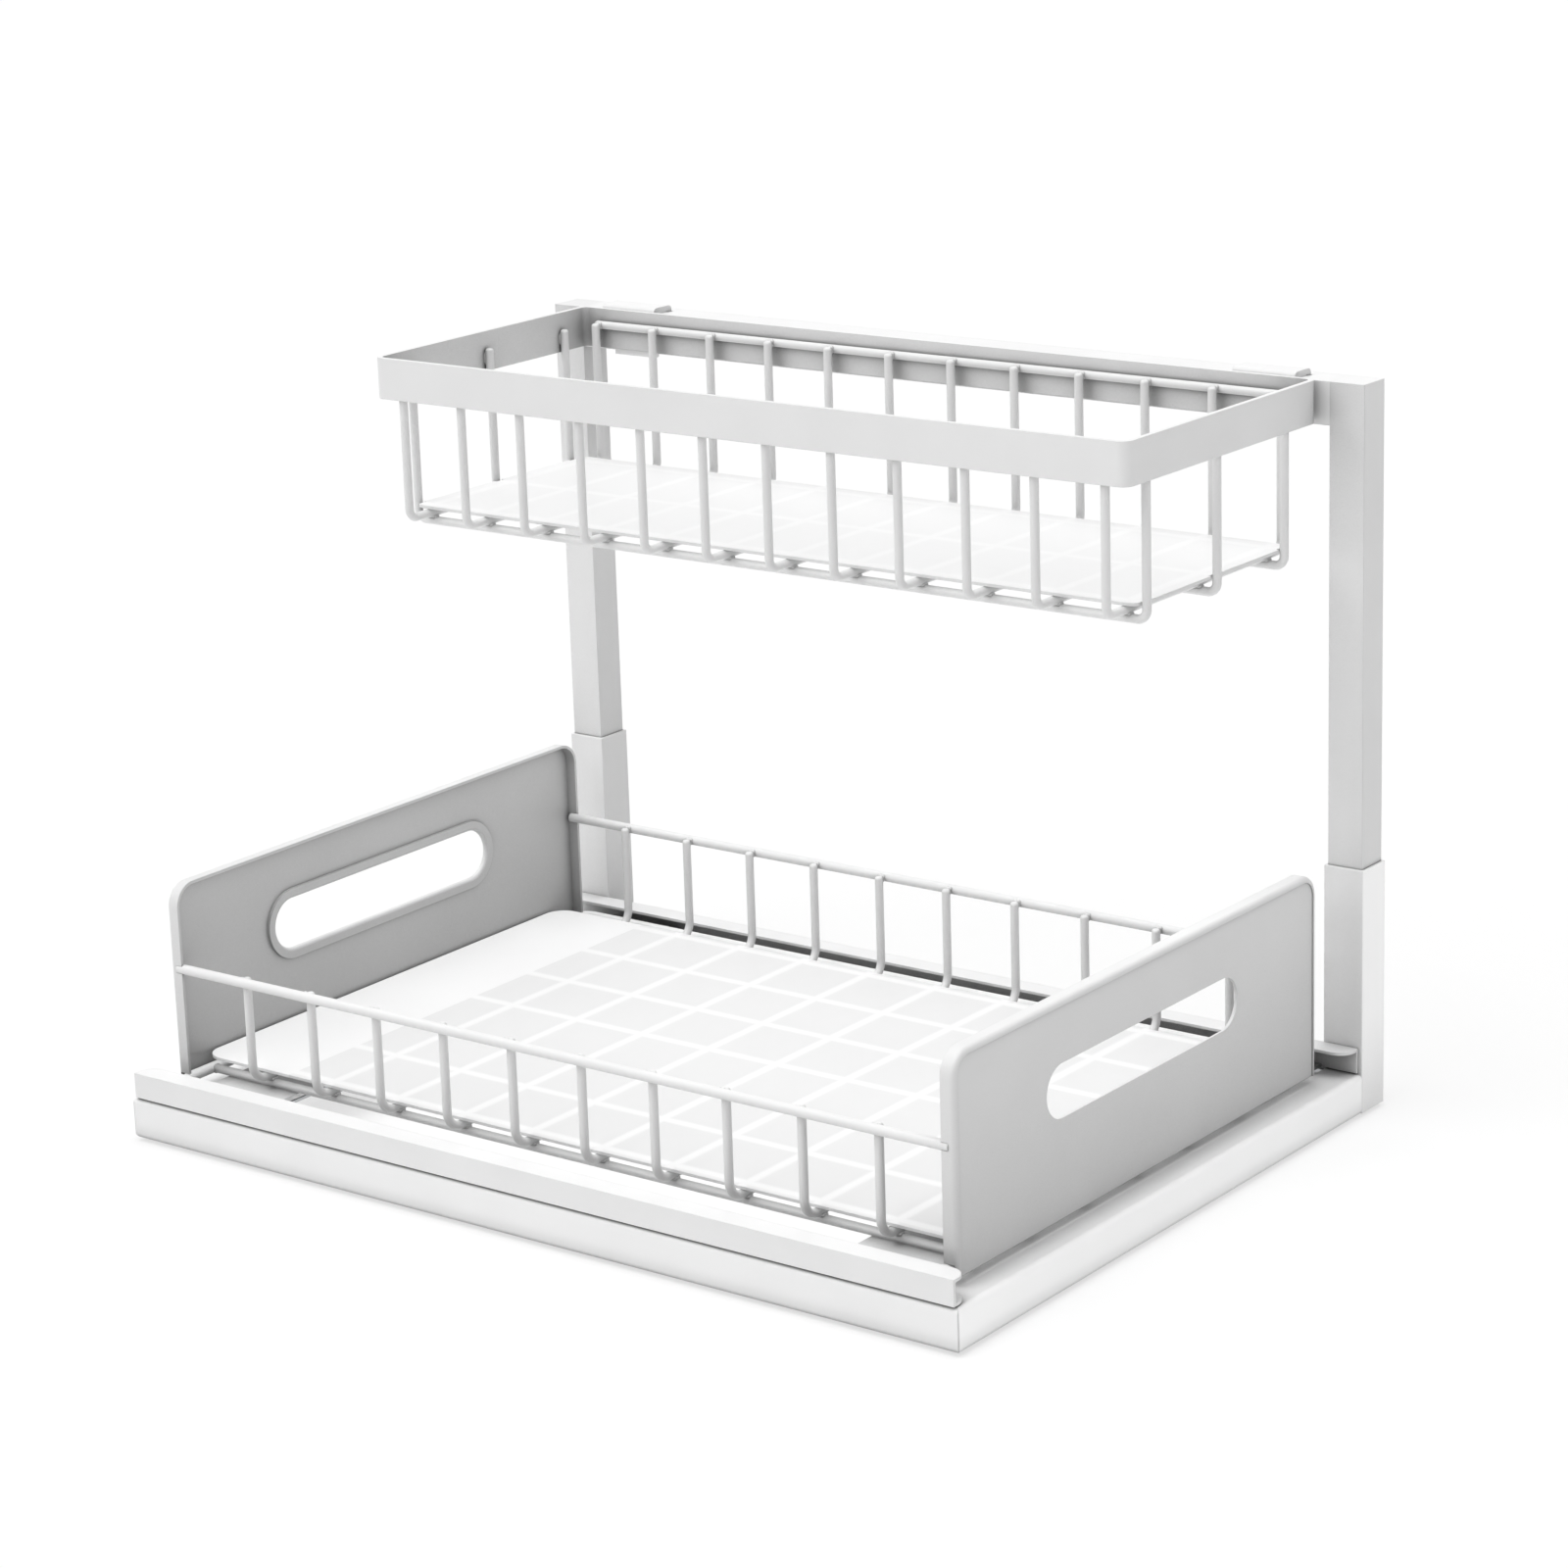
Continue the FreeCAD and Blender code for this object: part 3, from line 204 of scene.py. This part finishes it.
class Shader:
    """A material's node tree with short calls to add nodes and link them."""

    def __init__(self, name):
        self.material = bpy.data.materials.new(name)
        self.material.use_nodes = True
        self.tree = self.material.node_tree
        self.tree.nodes.clear()
        self.output = self.add("ShaderNodeOutputMaterial")

    def add(self, kind, **settings):
        """A new node of the tree, with its settings."""
        node = self.tree.nodes.new(kind)
        for name, value in settings.items():
            setattr(node, name, value)
        return node

    def link(self, source, target):
        """Join an output to an input."""
        self.tree.links.new(source, target)

    def surface(self, color, roughness, metallic=0.0):
        """A principled surface joined to the output, with its constant values on its own sockets."""
        shader = self.add("ShaderNodeBsdfPrincipled")
        shader.inputs["Base Color"].default_value = (*color, 1.0)
        shader.inputs["Roughness"].default_value = roughness
        shader.inputs["Metallic"].default_value = metallic
        self.link(shader.outputs["BSDF"], self.output.inputs["Surface"])
        return shader

    def place(self, stretch=(1.0, 1.0, 1.0)):
        """The piece's own coordinates, stretched for directional detail."""
        where = self.add("ShaderNodeTexCoord")
        mapping = self.add("ShaderNodeMapping")
        mapping.inputs["Scale"].default_value = stretch
        self.link(where.outputs["Object"], mapping.inputs["Vector"])
        return mapping.outputs["Vector"]

    def noise(self, per_metre, detail=3.0, stretch=(1.0, 1.0, 1.0)):
        """Soft noise over the piece, a number."""
        texture = self.add("ShaderNodeTexNoise")
        texture.inputs["Scale"].default_value = per_metre
        texture.inputs["Detail"].default_value = detail
        self.link(self.place(stretch), texture.inputs["Vector"])
        return texture.outputs["Fac"]

    def blend(self, factor, low, high):
        """A colour that runs from low to high with the factor."""
        ramp = self.add("ShaderNodeValToRGB")
        for stop, position, value in zip(ramp.color_ramp.elements, NOISE_SPAN, (low, high)):
            stop.position = position
            stop.color = (*value, 1.0)
        self.link(factor, ramp.inputs["Fac"])
        return ramp.outputs["Color"]

    def span(self, factor, low, high):
        """A number that runs from low to high with the factor."""
        rescale = self.add("ShaderNodeMapRange")
        for socket, value in zip(("From Min", "From Max", "To Min", "To Max"), (*NOISE_SPAN, low, high)):
            rescale.inputs[socket].default_value = value
        self.link(factor, rescale.inputs["Value"])
        return rescale.outputs["Result"]

    def math(self, operation, *operands):
        """One sum over numbers and outputs."""
        node = self.add("ShaderNodeMath", operation=operation)
        for socket, operand in zip(node.inputs, operands):
            if isinstance(operand, (int, float)):
                socket.default_value = operand
            else:
                self.link(operand, socket)
        return node.outputs["Value"]

    def mix(self, factor, first, second, blend_type="MIX"):
        """Two colours mixed by the factor; each may be a colour or an output."""
        node = self.add("ShaderNodeMixRGB", blend_type=blend_type)
        for socket, value in zip(node.inputs, (factor, first, second)):
            if isinstance(value, tuple):
                socket.default_value = (*value, 1.0)
            elif isinstance(value, float):
                socket.default_value = value
            else:
                self.link(value, socket)
        return node.outputs["Color"]

    def painted_shade(self, reach, darkest):
        """Painted shade: one on open faces, falling to darkest where other faces stand closer than reach."""
        near = self.add("ShaderNodeAmbientOcclusion", samples=VIEW_SAMPLES)
        near.inputs["Distance"].default_value = reach
        rescale = self.add("ShaderNodeMapRange")
        rescale.inputs["From Max"].default_value = OPEN_VIEW
        rescale.inputs["To Min"].default_value = darkest
        self.link(near.outputs["AO"], rescale.inputs["Value"])
        return rescale.outputs["Result"]

    def soft_edge(self, radius):
        """A normal that rounds sharp edges off."""
        bevel = self.add("ShaderNodeBevel", samples=EDGE_SAMPLES)
        bevel.inputs["Radius"].default_value = radius
        return bevel.outputs["Normal"]

    def bump(self, height, depth, strength, base=None):
        """A normal with the height pressed into it."""
        relief = self.add("ShaderNodeBump")
        relief.inputs["Strength"].default_value = strength
        relief.inputs["Distance"].default_value = depth
        self.link(height, relief.inputs["Height"])
        if base is not None:
            self.link(base, relief.inputs["Normal"])
        return relief.outputs["Normal"]

    def clouds(self, color, kind):
        """The colour with soft clouds in its tone."""
        per_metre, detail, low, high = kind
        return self.blend(self.noise(per_metre, detail), shade(color, low), shade(color, high))

    def sheen(self, roughness, kind):
        """The roughness with small changes over the piece."""
        per_metre, fall, rise = kind
        return self.span(self.noise(per_metre), roughness + fall, roughness + rise)

    def emboss(self, relief, base=None):
        """A normal with fine noise pressed into it."""
        per_metre, detail, depth, strength = relief
        return self.bump(self.noise(per_metre, detail), depth, strength, base)


def shade(color, share):
    """The colour at a share of its strength."""
    return tuple(channel * share for channel in color)


def powder_coat(name, color, satin, *painted_shades):
    """Sprayed and baked paint: faint clouds, painted shade where other faces stand near it, fine orange
    peel.
    """
    roughness, edge = satin
    look = Shader(name)
    shader = look.surface(color, roughness)
    tone = look.clouds(color, COAT_CLOUDS)
    # painted shade: the colour is darkened where other faces stand near
    for reach, darkest in painted_shades:
        tone = look.mix(1.0, tone, look.painted_shade(reach, darkest), "MULTIPLY")
    look.link(tone, shader.inputs["Base Color"])
    look.link(look.sheen(roughness, COAT_SHEEN), shader.inputs["Roughness"])
    peel = look.emboss(COAT_PEEL, look.soft_edge(edge))
    look.link(look.emboss(COAT_RIPPLE, peel), shader.inputs["Normal"])
    return look.material


def zinc_plate(name, color):
    """Plated sheet with drawn streaks along its length and pale spangles."""
    look = Shader(name)
    shader = look.surface(color, ZINC_ROUGHNESS, 1.0)
    spangle = look.add("ShaderNodeTexVoronoi")
    spangle.inputs["Scale"].default_value = SPANGLES
    look.link(look.place(), spangle.inputs["Vector"])
    dull, bright = [shade(color, share) for share in SPANGLE_TONES]
    look.link(look.blend(spangle.outputs["Color"], dull, bright), shader.inputs["Base Color"])
    streaks = look.noise(*STREAKS)
    look.link(look.span(streaks, *STREAK_ROUGHNESS), shader.inputs["Roughness"])
    look.link(look.bump(streaks, *STREAK_RELIEF), shader.inputs["Normal"])
    return look.material


def moulded_plastic(name, color):
    """Nylon with a fine moulded grain and turning marks round the axle."""
    look = Shader(name)
    shader = look.surface(color, NYLON_ROUGHNESS)
    weight, depth = NYLON_SKIN
    shader.inputs["Subsurface Weight"].default_value = weight
    shader.inputs["Subsurface Scale"].default_value = depth
    look.link(look.clouds(color, NYLON_CLOUDS), shader.inputs["Base Color"])
    look.link(look.sheen(NYLON_ROUGHNESS, NYLON_SHEEN), shader.inputs["Roughness"])
    marks = look.add("ShaderNodeTexWave", wave_type="BANDS", bands_direction="X")
    marks.inputs["Scale"].default_value = MARKS
    marks.inputs["Distortion"].default_value = MARK_WAVER
    look.link(look.place(), marks.inputs["Vector"])
    grain = look.emboss(NYLON_GRAIN)
    look.link(look.bump(marks.outputs["Fac"], *MARK_RELIEF, grain), shader.inputs["Normal"])
    return look.material


def wire_row(look, axis, first, last, count):
    """One over each wire of an even row along the axis, zero between the wires."""
    apart = look.add("ShaderNodeSeparateXYZ")
    look.link(look.place(), apart.inputs["Vector"])
    pitch = (last - first) / (count - 1)
    step = look.math("DIVIDE", look.math("SUBTRACT", apart.outputs[axis], first), pitch)
    nearest = look.math("MINIMUM", look.math("MAXIMUM", look.math("ROUND", step), 0.0), count - 1.0)
    away = look.math("MULTIPLY", look.math("ABSOLUTE", look.math("SUBTRACT", step, nearest)), pitch)
    line = look.add("ShaderNodeMapRange", interpolation_type="SMOOTHSTEP")
    line.inputs["From Min"].default_value = RULE_HALF_WIDTH - RULE_BLUR
    line.inputs["From Max"].default_value = RULE_HALF_WIDTH + RULE_BLUR
    line.inputs["To Min"].default_value = 1.0
    line.inputs["To Max"].default_value = 0.0
    look.link(away, line.inputs["Value"])
    return line.outputs["Result"], apart


def frosted_sheet(name, shade_color, floor_wires, floor_count, cross_wires, backed_from):
    """Frosted liner with painted shade in the squares between the wires under it, white lines over the
    wires, and no painted shade on its left where a lit strip lies under it.
    """
    look = Shader(name)
    shader = look.surface(MAT, MAT_ROUGHNESS)
    shader.inputs["Specular IOR Level"].default_value = MAT_GLOSS
    low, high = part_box(floor_wires)
    rows = [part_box(wire) for wire in cross_wires]
    gauge = rows[0][1][1] - rows[0][0][1]
    across, apart = wire_row(look, "X", low[0] + gauge / 2, high[0] - gauge / 2, floor_count)
    middles = [(row[0][1] + row[1][1]) / 2 for row in rows]
    along, _ = wire_row(look, "Y", middles[0], middles[-1], len(middles))
    # painted shade only right of the lit strip under the mat's left side
    shaded_part = look.math("GREATER_THAN", apart.outputs["X"], -backed_from)
    between = look.math("SUBTRACT", 1.0, look.math("MAXIMUM", across, along))
    shaded_gap = look.math("MULTIPLY", between, shaded_part)
    # painted shade: the squares between the wires take the darker colour
    look.link(look.mix(shaded_gap, look.clouds(MAT, MAT_CLOUDS), shade_color), shader.inputs["Base Color"])
    look.link(look.sheen(MAT_ROUGHNESS, MAT_SHEEN), shader.inputs["Roughness"])
    sag = look.bump(shaded_gap, *SAG_RELIEF, look.soft_edge(MAT_EDGE))
    look.link(look.emboss(MAT_GRAIN, sag), shader.inputs["Normal"])
    return look.material


def soft_rubber(name, color):
    """Matt pads with a dusty bloom."""
    look = Shader(name)
    shader = look.surface(color, RUBBER_ROUGHNESS)
    look.link(look.clouds(color, RUBBER_CLOUDS), shader.inputs["Base Color"])
    look.link(look.sheen(RUBBER_ROUGHNESS, RUBBER_SHEEN), shader.inputs["Roughness"])
    look.link(look.emboss(RUBBER_GRAIN), shader.inputs["Normal"])
    return look.material


def finish_of(name, slot):
    """The finish of one node, by its slot in the record and its place in the object."""
    if slot == "frosted_mat":
        return name
    if slot != "white_steel":
        return slot
    if "wire" in name or "fence" in name:
        return "white_wire"
    if name.startswith("base_"):
        return "white_base"
    if name == "carriage_rear_bar" or name.endswith("_runner"):
        return "white_channel"
    if name == "basket_band":
        return "white_band"
    if name == "crossbar" or name.endswith("_hook"):
        return "white_beam"
    for kind in ("panel", "post", "sleeve"):
        if name.endswith("_" + kind):
            return "white_" + kind
    return "white_steel"


def dress():
    """Give every node of the frame its finish."""
    runner_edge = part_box("right_runner")[0][0]
    mat_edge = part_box("upper_mat")[1][0]
    finishes = {
        # every white paint below has painted shade near other faces
        "white_steel": powder_coat("white_steel", PAINT, SATIN, SEAM),
        "white_channel": powder_coat("white_channel", PAINT, SATIN, CHANNEL),
        # painted light: the same white, painted lighter for the base
        "white_base": powder_coat("white_base", LIGHTENED_BASE_PAINT, BASE_SATIN, LEDGE, CONTACT),
        "white_sleeve": powder_coat("white_sleeve", LIGHTENED_BASE_PAINT, SLEEVE_SATIN, NOOK),
        # painted shade: the same white, painted darker for the panels
        "white_panel": powder_coat("white_panel", DARKENED_PANEL_PAINT, PANEL_SATIN, SEAM, INSIDE),
        "white_post": powder_coat("white_post", PAINT, SATIN, SEAM, INSIDE),
        "white_beam": powder_coat("white_beam", PAINT, SATIN, SEAM),
        "white_band": powder_coat("white_band", BAND_PAINT, SATIN, RAIL_SHADE, BAND_INSIDE),
        "white_wire": powder_coat("white_wire", WIRE_PAINT, WIRE_SATIN, CREVICE, WIRE_INSIDE),
        "zinc_steel": zinc_plate("zinc_steel", ZINC),
        "roller_plastic": moulded_plastic("roller_plastic", NYLON),
        "lower_mat": frosted_sheet("lower_mat", LOWER_MAT_SHADE, "tray_floor_wires", TRAY_FLOOR_WIRES,
                                   TRAY_CROSS_WIRES, runner_edge),
        "upper_mat": frosted_sheet("upper_mat", UPPER_MAT_SHADE, "basket_wires", BASKET_FLOOR_WIRES,
                                   BASKET_CROSS_WIRES, mat_edge),
        "foot_rubber": soft_rubber("foot_rubber", RUBBER),
    }
    for part in frame["record"]["subparts"]:
        data = nodes[part["node"]].data
        data.materials.clear()
        data.materials.append(finishes[finish_of(part["node"], part["material_slot"])])
    return finishes


def add_bead(shape, centre, kind, number):
    """One weld: a drop flattened along its shortest half size, its rim swollen into the wedges."""
    half_sizes, lobe = kind
    flat = half_sizes.index(min(half_sizes))
    first, second = [axis for axis in range(3) if axis != flat]
    rings = []
    for level in BEAD_RINGS:
        width = math.sqrt(1.0 - level * level)
        ring = []
        for side in range(BEAD_SIDES):
            turn = math.tau * side / BEAD_SIDES
            uneven = BEAD_UNEVEN * math.sin(BEAD_TURN * number + BEAD_BULGES * turn)
            swell = width * (1.0 - lobe * math.cos(BEAD_WEDGES * turn) + uneven)
            point = Vector(centre)
            point[flat] += level * half_sizes[flat]
            point[first] += swell * half_sizes[first] * math.cos(turn)
            point[second] += swell * half_sizes[second] * math.sin(turn)
            ring.append(shape.verts.new(point))
        rings.append(ring)
    for side in range(BEAD_SIDES):
        after = (side + 1) % BEAD_SIDES
        for lower, upper in zip(rings, rings[1:]):
            shape.faces.new((lower[side], lower[after], upper[after], upper[side]))
    for ring, way in ((rings[0], -1.0), (rings[-1], 1.0)):
        tip = Vector(centre)
        tip[flat] += way * half_sizes[flat]
        pole = shape.verts.new(tip)
        for side in range(BEAD_SIDES):
            shape.faces.new((ring[side], ring[(side + 1) % BEAD_SIDES], pole))


def middle(node, axis):
    """The node's middle along one axis."""
    low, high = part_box(node)
    return (low[axis] + high[axis]) / 2


def wire_places(node, count):
    """Middles of an even row of equal wires along X."""
    low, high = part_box(node)
    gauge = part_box("tray_cross_wire_1")[1][2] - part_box("tray_cross_wire_1")[0][2]
    pitch = (high[0] - low[0] - gauge) / (count - 1)
    return [low[0] + gauge / 2 + pitch * number for number in range(count)]


def tray_welds():
    """Where the tray's wires cross, end on the ring and meet the fences."""
    floor_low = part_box("tray_floor_wires")[0]
    columns = wire_places("tray_floor_wires", TRAY_FLOOR_WIRES)
    for wire in TRAY_CROSS_WIRES:
        low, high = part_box(wire)
        for x in columns:
            yield (x, middle(wire, 1), floor_low[2]), CROSSING_BEAD
        for x in (low[0], high[0]):
            yield (x, middle(wire, 1), middle(wire, 2)), RING_BEAD
    for fence, face in (("tray_front_fence", 1), ("tray_rear_fence", 0)):
        for x in columns:
            yield (x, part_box(fence)[face][1], middle(fence, 2)), RAIL_BEAD


def basket_welds():
    """Where the basket's wires cross, and where they meet the band and the rear rail."""
    low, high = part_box("basket_wires")
    columns = wire_places("basket_wires", BASKET_FLOOR_WIRES)
    band_level = (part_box("basket_band")[0][2] + high[2]) / 2
    for wire in BASKET_CROSS_WIRES:
        for x in columns:
            yield (x, middle(wire, 1), low[2]), CROSSING_BEAD
        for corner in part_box(wire):
            yield (corner[0], middle(wire, 1), band_level), BAND_SIDE_BEAD
    for x in columns:
        yield (x, low[1], band_level), BAND_BEAD
        yield (x, high[1], middle("basket_rear_wire", 2)), RAIL_BEAD


def make_welds(body, welds, finish):
    """All weld beads of one body as one piece."""
    shape = bmesh.new()
    for number, (centre, kind) in enumerate(welds):
        add_bead(shape, centre, kind, number)
    bmesh.ops.recalc_face_normals(shape, faces=shape.faces)
    for face in shape.faces:
        face.smooth = True
    data = bpy.data.meshes.new(body + "_weld_beads")
    shape.to_mesh(data)
    shape.free()
    data.materials.append(finish)
    beads = bpy.data.objects.new(body + "_weld_beads", data)
    scene.collection.objects.link(beads)
    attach(beads, body)


def seen_ray(tree):
    """One for rays from the eye, from gloss and through glass, otherwise zero."""
    path = tree.nodes.new("ShaderNodeLightPath")
    largest = path.outputs["Is Camera Ray"]
    for other in ("Is Glossy Ray", "Is Transmission Ray"):
        either = tree.nodes.new("ShaderNodeMath")
        either.operation = "MAXIMUM"
        tree.links.new(largest, either.inputs[0])
        tree.links.new(path.outputs[other], either.inputs[1])
        largest = either.outputs["Value"]
    return largest


def make_floor():
    """A wide pale floor: white to the eye, with the object's soft shadow left in it."""
    data = bpy.data.meshes.new("floor")
    shape = bmesh.new()
    bmesh.ops.create_grid(shape, x_segments=1, y_segments=1, size=FLOOR_HALF)
    shape.to_mesh(data)
    shape.free()
    floor = bpy.data.objects.new("floor", data)
    floor.location.z = FLOOR_LEVEL
    scene.collection.objects.link(floor)
    look = Shader("floor")
    plain = look.add("ShaderNodeBsdfDiffuse")
    plain.inputs["Color"].default_value = (*FLOOR, 1.0)
    pale = look.add("ShaderNodeBsdfDiffuse")
    pale.inputs["Color"].default_value = (*FLOOR_SEEN, 1.0)
    glow = look.add("ShaderNodeEmission")
    glow.inputs["Strength"].default_value = FLOOR_GLOW
    both = look.add("ShaderNodeAddShader")
    look.link(pale.outputs["BSDF"], both.inputs[0])
    look.link(glow.outputs["Emission"], both.inputs[1])
    mix = look.add("ShaderNodeMixShader")
    look.link(seen_ray(look.tree), mix.inputs["Fac"])
    look.link(plain.outputs["BSDF"], mix.inputs[1])
    look.link(both.outputs["Shader"], mix.inputs[2])
    look.link(mix.outputs["Shader"], look.output.inputs["Surface"])
    data.materials.append(look.material)


def make_world():
    """A faint even light on the object, and plain white to the eye."""
    world = bpy.data.worlds.new("studio")
    world.use_nodes = True
    scene.world = world
    tree = world.node_tree
    tree.nodes.clear()
    light = tree.nodes.new("ShaderNodeBackground")
    light.inputs["Color"].default_value = (*WHITE, 1.0)
    light.inputs["Strength"].default_value = WORLD_LIGHT
    white = tree.nodes.new("ShaderNodeBackground")
    white.inputs["Color"].default_value = (*WHITE, 1.0)
    white.inputs["Strength"].default_value = 1.0
    mix = tree.nodes.new("ShaderNodeMixShader")
    output = tree.nodes.new("ShaderNodeOutputWorld")
    tree.links.new(seen_ray(tree), mix.inputs["Fac"])
    tree.links.new(light.outputs["Background"], mix.inputs[1])
    tree.links.new(white.outputs["Background"], mix.inputs[2])
    tree.links.new(mix.outputs["Shader"], output.inputs["Surface"])


def linked(name, members, state):
    """The named nodes as a set that a lamp takes in or leaves out."""
    held = bpy.data.collections.new(name)
    for node in members:
        held.objects.link(nodes[node])
    for member in held.collection_objects:
        member.light_linking.link_state = state
    return held


def make_lamp(name, kind, past=(), only=(), without=()):
    """A distant lamp as wide as a softbox, with no hot reflection in the paint.

    It may shine past some nodes, on some only, or leave some out.
    """
    strength, spread, toward = kind
    data = bpy.data.lights.new(name, "SUN")
    data.energy = strength
    data.angle = math.radians(spread)
    lamp = bpy.data.objects.new(name, data)
    lamp.rotation_euler = Vector(toward).to_track_quat("-Z", "Y").to_euler()
    lamp.visible_glossy = False
    scene.collection.objects.link(lamp)
    if past:
        lamp.light_linking.blocker_collection = linked(name + "_past", past, "EXCLUDE")
    if only:
        lamp.light_linking.receiver_collection = linked(name + "_only", only, "INCLUDE")
    if without:
        lamp.light_linking.receiver_collection = linked(name + "_without", without, "EXCLUDE")


def make_lights():
    """Soft light from above, from the front left and from the right, and a low lamp for the right rail."""
    open_work = [node for body in ("tray", "lower_mat", "basket", "upper_mat") for node in bodies[body]
                 if node != "tray_right_panel"]
    near_rail = ["base_right_rail", "right_sleeve"]
    far_side = ["tray_left_panel", "left_post", "left_sleeve"]
    make_lamp("top", TOP_LAMP, past=open_work)
    make_lamp("front", FRONT_LAMP)
    make_lamp("right", RIGHT_LAMP, without=near_rail + far_side)
    make_lamp("low", LOW_LAMP, only=near_rail)


scene.view_settings.view_transform = "Standard"
make_camera()
make_world()
make_lights()
make_floor()
finishes = dress()
make_welds("tray", tray_welds(), finishes["white_wire"])
make_welds("basket", basket_welds(), finishes["white_wire"])
